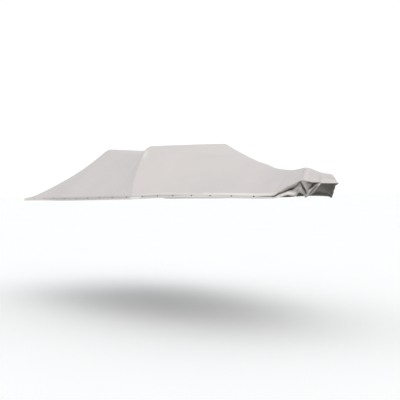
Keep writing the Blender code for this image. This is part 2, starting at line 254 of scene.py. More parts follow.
# Places along the cover and how much painted shade each zone has there, or painted light where it is below 0.
PAINTED_SHADING = {
    # Painted shade and light on the broad faces, darker aft and lighter forward of the seam.
    Zone.BODY: (
        (0.000, 0.03), (3.046, 0.03), (3.052, -0.08), (3.700, -0.08), (3.950, -0.06), (4.300, 0.00),
        (4.560, 0.03), (4.640, 0.03), (4.800, 0.05), (4.850, 0.06), (4.900, 0.08), (4.940, 0.06),
        (5.010, 0.02), (5.190, 0.02),
    ),
    # Painted light and shade along the hem.
    Zone.HEM: (
        (0.000, -0.35), (0.400, -0.20), (0.800, 0.02), (1.300, 0.16), (2.300, 0.14), (3.046, 0.02),
        (3.052, 0.00), (3.700, -0.10), (3.950, -0.35), (4.300, -0.05), (4.560, 0.00), (4.720, -0.20),
        (4.800, 0.00), (5.050, 0.00), (5.068, -0.15), (5.190, -0.15),
    ),
    # A painted shadow line along the snaps.
    Zone.SNAP_LINE: (
        (0.000, 0.00), (0.400, 0.05), (0.800, 0.20), (1.300, 0.15), (2.300, 0.15), (3.046, 0.30),
        (3.052, 0.30), (3.700, 0.35), (3.950, 0.15), (4.300, 0.12), (4.560, 0.15), (4.640, 0.60),
        (4.720, 0.40), (4.800, 0.10), (5.074, 0.10), (5.190, 0.00),
    ),
    # Painted shade over the loose flap under its overhang, and painted light on the cap's hem.
    Zone.FLAP: (
        (0.000, 0.00), (4.640, 0.00), (4.720, 0.05), (4.800, 0.28), (4.850, 0.42), (4.900, 0.45),
        (4.940, 0.58), (5.010, 0.66), (5.050, 0.55), (5.068, 0.10), (5.074, -0.15), (5.190, -0.15),
    ),
}
# The cloth's waviness: shares of two crossed waves, each with its radians per metre in X, Y, Z and its phase.
WAVES = (
    (0.6, (9.1, 3.0, 0.0, 1.3), (0.0, 7.3, -4.1, 0.4)),
    (0.4, (17.0, 0.0, -8.0, 0.0), (0.0, 13.0, 5.0, 2.0)),
)


class Track:
    """A smooth curve through the rows of a table, monotone between rows and free to break at creases."""

    def __init__(self, xs: list[float], values: list[float], creases: list[bool] | None = None) -> None:
        """Work out the slopes at each row.

        Args:
            xs: where each row lies.
            values: the value of each row.
            creases: whether the curve may break at each row, only at its two ends by default.
        """
        self.xs = xs
        self.values = values
        last = len(xs) - 1
        steps = [(values[i + 1] - values[i]) / (xs[i + 1] - xs[i]) for i in range(last)]
        self.left = [0.0] * len(xs)
        self.right = [0.0] * len(xs)
        for i in range(len(xs)):
            before = steps[max(i - 1, 0)]
            after = steps[min(i, last - 1)]
            if i in (0, last) or (creases and creases[i]):
                self.left[i] = before
                self.right[i] = after
            elif before * after > 0.0:
                self.left[i] = self.right[i] = 2.0 * before * after / (before + after)

    def at(self, x: float) -> float:
        """Read the curve.

        Args:
            x: a place along it, held to its two ends.

        Returns:
            The curve's value there.
        """
        i = min(max(int(np.searchsorted(self.xs, x, side="right")) - 1, 0), len(self.xs) - 2)
        span = self.xs[i + 1] - self.xs[i]
        t = min(max((x - self.xs[i]) / span, 0.0), 1.0)
        value = self.values[i] + t * t * (3.0 - 2.0 * t) * (self.values[i + 1] - self.values[i])
        return value + span * (t * (1.0 - t) ** 2 * self.right[i] + t * t * (t - 1.0) * self.left[i + 1])


def hump(distance: np.ndarray, width: float) -> np.ndarray:
    """A soft bump of height 1, of which little more than a third is left at its width."""
    return np.exp(-((distance / width) ** 2))


def even_out(points: np.ndarray, weight: np.ndarray, rounds: int) -> None:
    """Draw points towards the mean of their two neighbours along the first axis, in place.

    Args:
        points: the grid of points.
        weight: for each point, 0 to leave it and 1 to move it half of the way.
        rounds: how often.
    """
    for _ in range(rounds):
        mean = (points[:-2] + points[2:]) / 2.0
        points[1:-1] += 0.5 * weight[1:-1] * (mean - points[1:-1])


@dataclass
class CoverForm:
    """The shape of the cloth's outer face, read from the tables."""

    snap_drop: float = 0.016
    nose_rake: float = 0.92
    flap_start: float = 4.695
    flap_end: float = 5.078
    cap_lift: float = 0.021
    seam_x: float = 3.050
    seam_bow: float = 0.075
    seam_bow_reach: float = 0.40
    slope_step: float = 0.004
    origin: Vector = field(default_factory=lambda: Vector((2.580, 0.0, 0.679)))

    def __post_init__(self) -> None:
        """Make a smooth track of each column of the tables."""
        xs = [row.x for row in OUTLINE]
        self.bow_x = xs[-1]
        self.half_width = Track(xs, [row.half_width for row in OUTLINE])
        self.height = Track(xs, [row.height for row in OUTLINE])
        feet = [rib.foot_x for rib in RIBS]
        creases = [rib.crease for rib in RIBS]
        self.rib_tracks = [Track(feet, list(column), creases) for column in list(zip(*RIBS))[1:-1]]
        self.flap_tracks = self.make_flap_tracks()

    def make_flap_tracks(self) -> list[Track]:
        """Tracks of the flap's ridge, then of each level's reach out and down.

        Returns:
            The ridge's height and, for each level, its out and its down.
        """
        ends = []
        for x, lift in ((self.flap_start, 0.0), (self.flap_end, self.cap_lift)):
            top = self.height.at(x) + self.snap_drop + lift
            ends.append([top] + [value for row in HEM for value in row])
        columns = [ends[0]]
        for fold in FOLDS:
            drop = fold.ridge_h - fold.hem_h
            column = [fold.ridge_h]
            for out, level in zip(fold.outs, FOLD_LEVELS):
                column += [out, drop * level]
            columns.append(column)
        columns.append(ends[1])
        xs = [self.flap_start] + [fold.foot_x for fold in FOLDS] + [self.flap_end]
        return [Track(xs, list(column)) for column in zip(*columns)]

    def in_flap(self, x: float, side: Side) -> bool:
        """Whether the cloth hangs loose there."""
        return side is Side.STARBOARD and self.flap_start < x < self.flap_end

    def outward(self, x: float, side: Side) -> Vector:
        """Level unit vector pointing straight out from the outline.

        Args:
            x: the foot position.
            side: the side of the cover.

        Returns:
            The direction, square to the outline.
        """
        if x >= self.bow_x:
            return Vector((1.0, 0.0, 0.0))
        low = max(x - self.slope_step, 0.0)
        high = x + self.slope_step
        slope = (self.half_width.at(high) - self.half_width.at(low)) / (high - low)
        return Vector((-slope, side.value, 0.0)).normalized()

    def foot(self, x: float, side: Side) -> Vector:
        """The corner of the hem, or the flap's taut ridge, where the cloth turns down.

        Args:
            x: the foot position.
            side: the side of the cover.

        Returns:
            The foot's place.
        """
        top = self.height.at(x) + self.snap_drop
        if self.in_flap(x, side):
            top = self.flap_tracks[0].at(x)
        elif side is Side.STARBOARD and x >= self.flap_end:
            top += self.cap_lift * (self.bow_x - x) / (self.bow_x - self.flap_end)
        return Vector((x, side.value * self.half_width.at(x), top))

    def skirt(self, x: float, side: Side, steps: int) -> list[HemRow]:
        """The profile of the skirt at x.

        Args:
            x: the foot position.
            side: the side of the cover.
            steps: how many points are wanted.

        Returns:
            Points from the free edge up to just under the foot.
        """
        if self.in_flap(x, side):
            values = [track.at(x) for track in self.flap_tracks[1:]]
            rows = list(zip(values[::2], values[1::2]))
        else:
            nose = max(0.0, (x - self.flap_end) / (self.bow_x - self.flap_end))
            rows = [(row.out + nose * (self.nose_rake * row.down - row.out), row.down) for row in HEM]
        rows.insert(0, (0.0, 0.0))
        places = list(range(len(rows)))
        reach, fall = (Track(places, list(column)) for column in zip(*rows))
        levels = [places[-1] * (steps - k) / steps for k in range(steps)]
        return [HemRow(reach.at(level), fall.at(level)) for level in levels]

    def section(self, x: float, side: Side, plan: "GridPlan") -> list[Vector]:
        """Points of one rib from the hem's edge up to the crest.

        Args:
            x: the rib's foot position.
            side: the side of the cover.
            plan: the grid's columns.

        Returns:
            The points, the crest left out.
        """
        foot = self.foot(x, side)
        out = self.outward(x, side)
        if x == 0.0:
            out.x -= 1.0
        points = [foot + out * row.out - UP * row.down for row in self.skirt(x, side, plan.skirt_rows)]
        hip_x, hip_y, hip_h, crest_x, crest_h, roundness, sag, rise = (t.at(x) for t in self.rib_tracks)
        if side is Side.STARBOARD:
            rise = 0.0
        hip = Vector((hip_x, side.value * hip_y, hip_h + rise))
        crest = Vector((crest_x, 0.0, crest_h))
        turn_in = 1.0 - roundness
        shares = [turn_in * share for share in plan.side_shares()] + [turn_in]
        bow = self.seam_bow * math.exp(-(((x - self.seam_x) / self.seam_bow_reach) ** 2))
        pull = 4.0 * Vector((bow, 0.0, sag))
        side_points = [foot.lerp(hip, t) - pull * t * (1.0 - t) for t in shares]
        start = side_points.pop()
        end = hip.lerp(crest, roundness)
        points += side_points
        for k in range(plan.corner_cols):
            t = k / plan.corner_cols
            points.append(start.lerp(hip, t).lerp(hip.lerp(end, t), t))
        return points + [end.lerp(crest, k / plan.top_cols) for k in range(plan.top_cols)]

    def line(self, x: float, plan: "GridPlan") -> list[Vector]:
        """One whole rib, from the starboard hem edge over the crest to the port hem edge.

        Args:
            x: the rib's foot position.
            plan: the grid's columns.

        Returns:
            The points, in the part's frame.
        """
        crest = Vector((self.rib_tracks[3].at(x), 0.0, self.rib_tracks[4].at(x)))
        starboard = self.section(x, Side.STARBOARD, plan)
        port = self.section(x, Side.PORT, plan)
        return [point - self.origin for point in starboard + [crest] + port[::-1]]


@dataclass(frozen=True)
class GridPlan:
    """How finely the cloth is divided."""

    rib_step: float = 0.017
    flap_step: float = 0.0055
    skirt_rows: int = 20
    side_cols: int = 27
    side_power: float = 1.5
    corner_cols: int = 14
    top_cols: int = 11

    @property
    def half(self) -> int:
        """Columns of one side, from the hem's edge up to the crest."""
        return self.skirt_rows + self.side_cols + self.corner_cols + self.top_cols

    def side_shares(self) -> list[float]:
        """Shares of the side's length, closer together near the foot."""
        return [(k / self.side_cols) ** self.side_power for k in range(self.side_cols)]

    def rib_places(self, form: CoverForm, lap: float) -> list[float]:
        """Foot positions of every rib, with one at each end of the lap and of the flap.

        Args:
            form: the cover's shape.
            lap: width of the seam's lap.

        Returns:
            The positions from the stern to the bow.
        """
        stops = [0.0, form.seam_x, form.seam_x + lap, form.flap_start, form.flap_end, form.bow_x]
        places: list[float] = []
        for low, high in zip(stops, stops[1:]):
            step = self.flap_step if low in (form.flap_start, form.seam_x) else self.rib_step
            count = max(1, round((high - low) / step))
            places += [low + (high - low) * k / count for k in range(count)]
        return places + [form.bow_x]


@dataclass
class ClothGrid:
    """The whole cover as one grid of points, ribs by columns, with its creases softened and wrinkles laid."""

    form: CoverForm
    plan: GridPlan
    lap: float
    snaps: dict[Side, list[float]]
    scallop: float = 0.0035
    scallop_reach: float = 0.060
    dimple: float = 0.0018
    dimple_reach: float = 0.015
    pucker: float = 0.0013
    pucker_pitch: float = 0.030
    pucker_spread: float = 0.45
    fan_reach: float = 0.055
    fan_height: float = 0.035
    fan_spread: float = 0.045
    groove: float = 0.0012
    groove_reach: float = 0.0045
    line_reach: float = 0.006
    waviness: float = 0.0012
    edge_reach: float = 0.005
    tip_reach: float = 0.050
    taper: float = 0.4
    loose_blend: float = 0.05
    loose_early: float = 0.6
    crossways_reach: int = 5
    lengthways_rounds: int = 2
    crossways_rounds: int = 4
    normal_rounds: int = 10
    ear_reach: float = 0.26
    ear_aft: float = 0.038
    ear_out: float = 0.040
    ear_droop: float = 0.020

    def __post_init__(self) -> None:
        """Lay the grid."""
        self.xs = np.array(self.plan.rib_places(self.form, self.lap))
        self.points = np.array([[tuple(p) for p in self.form.line(x, self.plan)] for x in self.xs])
        self.side = np.where(np.arange(self.points.shape[1]) <= self.plan.half, -1.0, 1.0)
        self.ear = self.draw_out_ears()
        self.soften()
        self.up = self.measure_up()
        self.loose = self.mark_loose()
        self.above_line = self.up + self.form.snap_drop
        self.creases = [
            (crease, self.strength(crease, side)) for side, creases in CREASES.items() for crease in creases
        ]
        self.points += self.ways_out() * self.relief()[..., None]
        # The tone is painted shade and painted light.
        self.tone = self.paint_shading()

    def draw_out_ears(self) -> np.ndarray:
        """Let the cloth of the two stern corners stand out aft and sideways, as loose ears.

        Returns:
            The share of the ear in each point, 1 at the corner and 0 from the ear's reach on.
        """
        x, y = self.points[..., 0] + self.form.origin.x, self.points[..., 1]
        away = np.hypot(x, self.form.half_width.at(0.0) - np.abs(y))
        share = np.clip(1.0 - away / self.ear_reach, 0.0, 1.0) ** 2
        level = np.ones(self.points.shape[1])
        skirt = self.form.skirt(0.0, Side.PORT, self.plan.skirt_rows)
        level[:self.plan.skirt_rows] = [1.0 - row.down / HEM[-1].down for row in skirt]
        level = np.minimum(level, level[::-1])
        self.points[..., 0] -= self.ear_aft * share
        self.points[..., 1] += self.ear_out * share * self.side
        self.points[..., 2] -= self.ear_droop * share * level
        return share

    def soften(self) -> None:
        """Round the creases a little, but leave the folds of the flap and the cap of the bow crisp."""
        skirt = self.plan.skirt_rows
        loose = self.xs > self.form.flap_start
        lengthways = np.ones(self.points.shape[:2] + (1,))
        lengthways[self.xs >= self.form.flap_end] = 0.0
        lengthways[loose, :skirt + 1] = 0.0
        even_out(self.points, lengthways, self.lengthways_rounds)
        from_edge = np.arange(self.points.shape[1])
        from_foot = np.abs(np.minimum(from_edge, from_edge[::-1]) - skirt)
        crossways = np.ones(self.points.shape[:2] + (1,)) * (from_foot <= self.crossways_reach)[None, :, None]
        crossways[loose, :self.plan.half] = 0.0
        even_out(self.points.swapaxes(0, 1), crossways.swapaxes(0, 1), self.crossways_rounds)

    def measure_up(self) -> np.ndarray:
        """Measure the cloth from its corner.

        Returns:
            Distance of each point from the corner along its rib, below zero on the skirt.
        """
        steps = np.linalg.norm(np.diff(self.points, axis=1), axis=2)
        along = np.concatenate([np.zeros((len(self.xs), 1)), np.cumsum(steps, axis=1)], axis=1)
        last = self.points.shape[1] - 1
        starboard = along - along[:, [self.plan.skirt_rows]]
        port = along[:, [last - self.plan.skirt_rows]] - along
        return np.where(self.side < 0.0, starboard, port)

    def mark_loose(self) -> np.ndarray:
        """Find where the cloth isn't snapped down.

        Returns:
            1 over the loose flap and the bow cap's starboard hem, 0 where the cloth is held.
        """
        past = (self.xs - self.form.flap_start) / self.loose_blend
        start = np.clip(past + self.loose_early, 0.0, 1.0)
        return start[:, None] * (self.side[None, :] < 0.0)

    def normals(self) -> np.ndarray:
        """Work out which way each point faces.

        Returns:
            Unit normals, evened out across the corner and alike on both sides of the tip.
        """
        normal = np.cross(np.gradient(self.points, axis=0), np.gradient(self.points, axis=1))
        normal /= np.maximum(np.linalg.norm(normal, axis=2, keepdims=True), TINY)
        for _ in range(self.normal_rounds):
            normal[:, 1:-1] += (normal[:, :-2] + normal[:, 2:]) / 2.0
        skirt = self.plan.skirt_rows
        normal[-1] = normal[-1] + normal[-1, ::-1]
        normal[-1, skirt:-skirt] = normal[-1, skirt]
        return normal / np.maximum(np.linalg.norm(normal, axis=2, keepdims=True), TINY)

    def ways_out(self) -> np.ndarray:
        """Work out which way the relief moves each point.

        Returns:
            The normals, but level and straight out on the skirt.
        """
        ways = self.normals()
        skirt = self.plan.skirt_rows
        for side, columns in ((Side.STARBOARD, slice(0, skirt)), (Side.PORT, slice(-skirt, None))):
            outward = np.array([tuple(self.form.outward(x, side)) for x in self.xs])
            ways[:, columns] = outward[:, None, :]
        return ways

    def relief(self) -> np.ndarray:
        """How far each point is moved outwards by scallops, puckers and wrinkles.

        Returns:
            The move of each point, in metres.
        """
        total = np.zeros(self.up.shape)
        held = 1.0 - self.loose
        height = self.above_line
        for side in Side:
            mine = held * (self.side[None, :] == side.value)
            stops = np.array([0.0, *self.snaps[side], self.form.bow_x])
            i = np.clip(np.searchsorted(stops, self.xs, side="right") - 1, 0, len(stops) - 2)
            between = (self.xs - stops[i]) / (stops[i + 1] - stops[i])
            away = (self.xs - stops[i + (between > 0.5)])[:, None]
            fade = np.where(height > 0.0, hump(height, self.scallop_reach), 1.0)
            total += mine * np.sin(math.pi * between)[:, None] * self.scallop * fade
            total -= mine * self.dimple * hump(np.hypot(away, height), self.dimple_reach)
            pitch = self.pucker_pitch + self.pucker_spread * np.maximum(height, 0.0)
            rays = np.cos(2.0 * math.pi * away / pitch) * hump(away, self.fan_reach)
            total += mine * self.pucker * rays * hump(height - self.fan_height, self.fan_spread)
        for crease, strength in self.creases:
            total += crease.height * strength
        total += self.waviness * self.unevenness()
        total -= held * self.groove * hump(height, self.groove_reach)
        return total * np.clip((self.form.bow_x - self.xs) / self.tip_reach, 0.0, 1.0)[:, None]

    def strength(self, crease: Crease, side: Side) -> np.ndarray:
        """How strongly a crease shows at each point.

        Args:
            crease: the crease.
            side: the side that it lies on.

        Returns:
            1 along its path, fading beside it and towards its ends.
        """
        nearest = np.full(self.up.shape, np.inf)
        place = np.zeros(self.up.shape)
        run = 0.0
        for first, second in zip(crease.path, crease.path[1:]):
            length = math.dist(first, second)
            along_x = (second[0] - first[0]) / length
            along_up = (second[1] - first[1]) / length
            dx = self.xs[:, None] - first[0]
            du = self.up - first[1]
            along = np.clip(dx * along_x + du * along_up, 0.0, length)
            away = np.hypot(dx - along * along_x, du - along * along_up)
            place = np.where(away < nearest, run + along, place)
            nearest = np.minimum(away, nearest)
            run += length
        mine = self.side[None, :] == side.value
        ends = np.clip(np.sin(math.pi * place / run), 0.0, 1.0) ** self.taper
        return mine * hump(nearest, crease.width) * ends

    def unevenness(self) -> np.ndarray:
        """Broad, faint waviness of stretched canvas.

        Returns:
            The waves' height at each point, from -1 to 1.
        """
        total = np.zeros(self.up.shape)
        for share, *crossed in WAVES:
            first, second = (np.sin(self.points @ np.array(rates) + phase) for *rates, phase in crossed)
            total += share * first * second
        return total

    def paint_shading(self) -> np.ndarray:
        """Add up the painted shade and light of the zones and the creases.

        Returns:
            How much painted shade each point has, up to 1, or painted light where it is below 0.
        """
        body, hem, line, flap = (np.interp(self.xs, *zip(*PAINTED_SHADING[zone]))[:, None] for zone in Zone)
        held = 1.0 - self.loose
        below = np.clip(-self.up / self.edge_reach, 0.0, 1.0)
        total = body + below * (held * hem + self.loose * flap - body)
        # The snap line's painted shadow, then the creases' painted shade and highlights.
        total += held * line * hump(self.above_line, self.line_reach)
        for crease, strength in self.creases:
            total += crease.tone * strength
        return total

    def rib_index(self, x: float) -> int:
        """The rib whose foot is nearest x."""
        return int(np.argmin(np.abs(self.xs - x)))

    def path_along(self, side: Side, up: float, lift: float) -> list[tuple[Vector, Vector]]:
        """A path along one side at a fixed distance from the corner.

        Args:
            side: the side of the cover.
            up: distance from the corner, below zero on the skirt.
            lift: how far the forward panel stands off the grid.

        Returns:
            Place and outward direction at each rib.
        """
        normals = self.normals()
        columns = np.nonzero(self.side == side.value)[0]
        path = []
        for i, x in enumerate(self.xs):
            order = columns[np.argsort(self.up[i, columns])]
            heights = self.up[i, order]
            point = [np.interp(up, heights, self.points[i, order, axis]) for axis in range(3)]
            normal = [np.interp(up, heights, normals[i, order, axis]) for axis in range(3)]
            outward = Vector(normal).normalized()
            path.append((Vector(point) + outward * (lift if x >= self.form.seam_x else 0.0), outward))
        return path

    def path_across(self, x: float, lift: float) -> list[tuple[Vector, Vector]]:
        """A path over the cover along one rib, from near one hem's edge to near the other's.

        Args:
            x: the rib's foot position.
            lift: how far the cloth there stands off the grid.

        Returns:
            Place and outward direction at each column.
        """
        i = self.rib_index(x)
        inset = self.plan.skirt_rows // 2
        normals = [Vector(normal) for normal in self.normals()[i, inset:-inset]]
        points = [Vector(point) for point in self.points[i, inset:-inset]]
        return [(point + normal * lift, normal) for point, normal in zip(points, normals)]


def link(name: str, data: ID) -> Object:
    """Put a new object in the scene.

    Args:
        name: its name.
        data: its mesh, camera or light.

    Returns:
        The object.
    """
    obj = bpy.data.objects.new(name, data)
    bpy.context.collection.objects.link(obj)
    return obj


def sound_faces(loops: Iterable[Iterable[int]]) -> list[tuple[int, ...]]:
    """Faces from loops of vertex numbers, without repeated corners and without loops of under three."""
    faces = [tuple(dict.fromkeys(loop)) for loop in loops]
    return [face for face in faces if len(face) > 2]


def turned(name: str, profile: Iterable[tuple[float, float]], sides: int) -> Object:
    """Make a body that is turned round the Z axis, each of its ends flat or a point.

    Args:
        name: its name.
        profile: radius and height of each of its rings from the bottom up, a point's radius 0.
        sides: how many sides it has.

    Returns:
        The body.
    """
    turns = [math.pi * (0.5 + 2.0 * k / sides) for k in range(sides)]
    points: list[Triple] = []
    rings = []
    for radius, height in profile:
        count = sides if radius else 1
        rings.append([len(points) + k % count for k in range(sides)])
        points += [(radius * math.cos(turn), radius * math.sin(turn), height) for turn in turns[:count]]
    loops = [rings[0][::-1], rings[-1]]
    for lower, upper in zip(rings, rings[1:]):
        loops += zip(lower, lower[1:] + lower[:1], upper[1:] + upper[:1], upper)
    mesh = bpy.data.meshes.new(name)
    mesh.from_pydata(points, [], sound_faces(loops))
    return link(name, mesh)


def aim(obj: Object, way: Triple) -> None:
    """Point a camera or a light along a direction."""
    obj.rotation_mode = "QUATERNION"
    obj.rotation_quaternion = Vector(way).to_track_quat("-Z", "Y")


def plain(obj: Object, name: str) -> Object:
    """Turn an object with modifiers into a plain mesh object.

    Args:
        obj: the object, which is removed.
        name: the plain object's name.

    Returns:
        The plain object.
    """
    graph = bpy.context.evaluated_depsgraph_get()
    mesh = bpy.data.meshes.new_from_object(obj.evaluated_get(graph))
    bpy.data.objects.remove(obj, do_unlink=True)
    mesh.name = name
    return link(name, mesh)


class NodeBuilder:
    """Short calls for adding and joining the nodes of a tree."""

    def __init__(self, tree: NodeTree) -> None:
        """Start on a tree."""
        self.tree = tree

    def add(self, kind: str, settings: dict | None = None, **inputs: object) -> Node:
        """A new node.

        Args:
            kind: Blender's name of the node's type.
            settings: properties of the node.
            **inputs: values or output sockets for its inputs, the spaces of their names as underscores.

        Returns:
            The node.
        """
        node = self.tree.nodes.new(kind)
        for key, value in (settings or {}).items():
            setattr(node, key, value)
        self.feed_all(node, **inputs)
        return node

    def feed_all(self, node: Node, **inputs: object) -> None:
        """Set or link several inputs of a node, the spaces of their names as underscores."""
        for key, value in inputs.items():
            self.feed(node, key.replace("_", " "), value)

    def feed(self, node: Node, key: str | int, value: object) -> None:
        """Set or link one input of a node.

        Args:
            node: the node.
            key: the input's name or number.
            value: a value, or the output socket that feeds it.
        """
        socket = node.inputs[key]
        if isinstance(value, NodeSocket):
            self.tree.links.new(value, socket)
        else:
            socket.default_value = value

    def math(self, operation: str, first: object, second: object = 0.0) -> NodeSocket:
        """The result of a Math node.

        Args:
            operation: Blender's name of the operation.
            first: its first value or socket.
            second: its second value or socket.

        Returns:
            The output socket.
        """
        node = self.add("ShaderNodeMath", {"operation": operation})
        self.feed(node, 0, first)
        self.feed(node, 1, second)
        return node.outputs[0]

    def mix(self, factor: object, first: object, second: object) -> NodeSocket:
        """The colour between two colours.

        Args:
            factor: how much of the second colour, a value or a socket.
            first: a colour or a socket.
            second: a colour or a socket.

        Returns:
            The output socket.
        """
        node = self.add("ShaderNodeMix", {"data_type": "RGBA"})
        for place, value in zip(MIX_INPUTS, (factor, first, second)):
            self.feed(node, place, value)
        return node.outputs[MIX_RESULT]

    def ranged(self, value: object, low: float, high: float, **limits: float) -> NodeSocket:
        """A socket's value brought to the range low to high, from 0 to 1 or from From_Min to From_Max."""
        node = self.add("ShaderNodeMapRange", Value=value, To_Min=low, To_Max=high, **limits)
        return node.outputs["Result"]


def open_tree(
    name: str, kind: str, inputs: dict[str, str], outputs: dict[str, str]
) -> tuple[NodeBuilder, bpy_prop_collection]:
    """A new node tree with its sockets.

    Args:
        name: the tree's name.
        kind: Blender's name of its type.
        inputs: for each input, its socket type.
        outputs: for each output, its socket type.

    Returns:
        The tree's builder, and the sockets that give what comes in.
    """
    tree = bpy.data.node_groups.new(name, kind)
    for way, sockets in (("INPUT", inputs), ("OUTPUT", outputs)):
        for key, socket_type in sockets.items():
            tree.interface.new_socket(key, in_out=way, socket_type=socket_type)
    nodes = NodeBuilder(tree)
    return nodes, nodes.add("NodeGroupInput").outputs


@cache
def weave_group() -> NodeTree:
    """Plain weave of warp and weft, as a height and a tone.

    Returns:
        A group with inputs Vector, Pitch and Slub and outputs Height and Tone.
    """
    inputs = {"Vector": "NodeSocketVector", "Pitch": "NodeSocketFloat", "Slub": "NodeSocketFloat"}
    outputs = {"Height": "NodeSocketFloat", "Tone": "NodeSocketFloat"}
    nodes, given = open_tree("plain_weave", "ShaderNodeTree", inputs, outputs)
    parts = nodes.add("ShaderNodeSeparateXYZ", Vector=given["Vector"]).outputs
    turn = nodes.math("DIVIDE", math.pi, given["Pitch"])
    warp = nodes.math("SINE", nodes.math("MULTIPLY", parts["X"], turn))
    weft = nodes.math("SINE", nodes.math("MULTIPLY", parts["Y"], turn))
    cross = nodes.math("MULTIPLY", warp, weft)
    slub = nodes.add("ShaderNodeTexNoise", Vector=given["Vector"], **SLUB_NOISE)
    uneven = nodes.math("MULTIPLY", nodes.math("SUBTRACT", slub.outputs["Fac"], 0.5), given["Slub"])
    height = nodes.math("ADD", nodes.math("MULTIPLY", cross, 0.5), uneven)
    streak = nodes.add("ShaderNodeMapping", Vector=given["Vector"], Scale=STREAKS_PER_METRE)
    threads = nodes.add("ShaderNodeTexNoise", Vector=streak.outputs["Vector"], **STREAK_NOISE)
    nodes.add("NodeGroupOutput", Height=nodes.math("ADD", height, 0.5), Tone=threads.outputs["Fac"])
    return nodes.tree


@cache
def weathering_group() -> NodeTree:
    """Broad patches left by sun and rain.

    Returns:
        A group with inputs Vector and Scale and the output Mask.
    """
    inputs = {"Vector": "NodeSocketVector", "Scale": "NodeSocketFloat"}
    nodes, given = open_tree("weathering", "ShaderNodeTree", inputs, {"Mask": "NodeSocketFloat"})
    broad = nodes.add("ShaderNodeTexNoise", Vector=given["Vector"], Scale=given["Scale"], Detail=PATCH_DETAIL)
    nodes.add("NodeGroupOutput", Mask=nodes.ranged(broad.outputs["Fac"], 0.0, 1.0, **PATCH_RANGE))
    return nodes.tree


def linear(srgb: Triple) -> tuple[float, float, float, float]:
    """A linear colour from an sRGB one in 0 to 255."""
    red, green, blue = ((c / SRGB_WHITE) ** SRGB_POWER for c in srgb)
    return red, green, blue, 1.0


class Surface(NamedTuple):
    """A material that is being made: its nodes, its shader and the mask of its weathered patches."""

    material: Material
    nodes: NodeBuilder
    shader: Node
    worn: NodeSocket


def start_material(name: str, scale: float) -> Surface:
    """A new material with its patches of weathering.

    Args:
        name: the material's name.
        scale: how many patches lie in a metre.

    Returns:
        The material and what the rest of it is joined to.
    """
    material = bpy.data.materials.new(name)
    material.use_nodes = True
    nodes = NodeBuilder(material.node_tree)
    place = nodes.add("ShaderNodeTexCoord").outputs["Object"]
    worn = nodes.add("ShaderNodeGroup", {"node_tree": weathering_group()}, Vector=place, Scale=scale)
    return Surface(material, nodes, material.node_tree.nodes["Principled BSDF"], worn.outputs["Mask"])


@dataclass(frozen=True)
class CanvasFinish:
    """Coated canvas: matt, finely woven, a little weathered, with painted shade or a painted highlight where
    its tone says so.
    """

    name: str
    cloth: Triple
    faded: Triple
    shade_colour: Triple
    highlight_colour: Triple
    roughness: float = 0.86
    pitch: float = 0.0012
    slub: float = 0.3
    weave_depth: float = 0.00025
    sheen: float = 0.12
    specular: float = 0.3
    patches: float = 1.7
    thread_tones: tuple[float, float] = (0.965, 1.025)
    bump: float = 0.55

    def make(self) -> Material:
        """Build the finish's nodes.

        Returns:
            The material of this finish.
        """
        material, nodes, shader, worn = start_material(self.name, self.patches)
        uv = nodes.add("ShaderNodeUVMap", {"uv_map": CLOTH_MAP}).outputs["UV"]
        weave = nodes.add("ShaderNodeGroup", {"node_tree": weave_group()}, Vector=uv, Pitch=self.pitch,
                          Slub=self.slub)
        # The tone mixes in the painted highlight colour below 0 and the painted shade colour above 0.
        painted_tone = nodes.add("ShaderNodeAttribute", {"attribute_name": TONE}).outputs["Fac"]
        broad = nodes.mix(worn, linear(self.cloth), linear(self.faded))
        toned = nodes.add("ShaderNodeVectorMath", {"operation": "SCALE"})
        nodes.feed(toned, 0, broad)
        nodes.feed(toned, "Scale", nodes.ranged(weave.outputs["Tone"], *self.thread_tones))
        pale = nodes.mix(nodes.math("MULTIPLY", painted_tone, -1.0), toned.outputs["Vector"], linear(self.highlight_colour))
        bump = nodes.add("ShaderNodeBump", Strength=self.bump, Distance=self.weave_depth,
                         Height=weave.outputs["Height"])
        colour = nodes.mix(painted_tone, pale, linear(self.shade_colour))
        nodes.feed_all(shader, Base_Color=colour, Normal=bump.outputs["Normal"], Roughness=self.roughness)
        nodes.feed_all(shader, Sheen_Weight=self.sheen, Specular_IOR_Level=self.specular)
        return material


@dataclass(frozen=True)
class PlainFinish:
    """A plain surface with duller and rougher patches, such as thread, metal or a floor."""

    name: str
    clean: Triple
    dull: Triple
    smooth: float
    rough: float
    patches: float
    metallic: float = 0.0

    def make(self) -> Material:
        """Build the finish's nodes.

        Returns:
            The material of this finish.
        """
        material, nodes, shader, worn = start_material(self.name, self.patches)
        colour = nodes.mix(worn, linear(self.clean), linear(self.dull))
        roughness = nodes.ranged(worn, self.smooth, self.rough)
        nodes.feed_all(shader, Base_Color=colour, Roughness=roughness, Metallic=self.metallic)
        return material


class PanelGrid(NamedTuple):
    """Points of a panel with what each of them carries, and the grids of vertex numbers that join them."""

    points: np.ndarray
    uv: np.ndarray
    tone: np.ndarray
    indices: tuple[np.ndarray, ...]


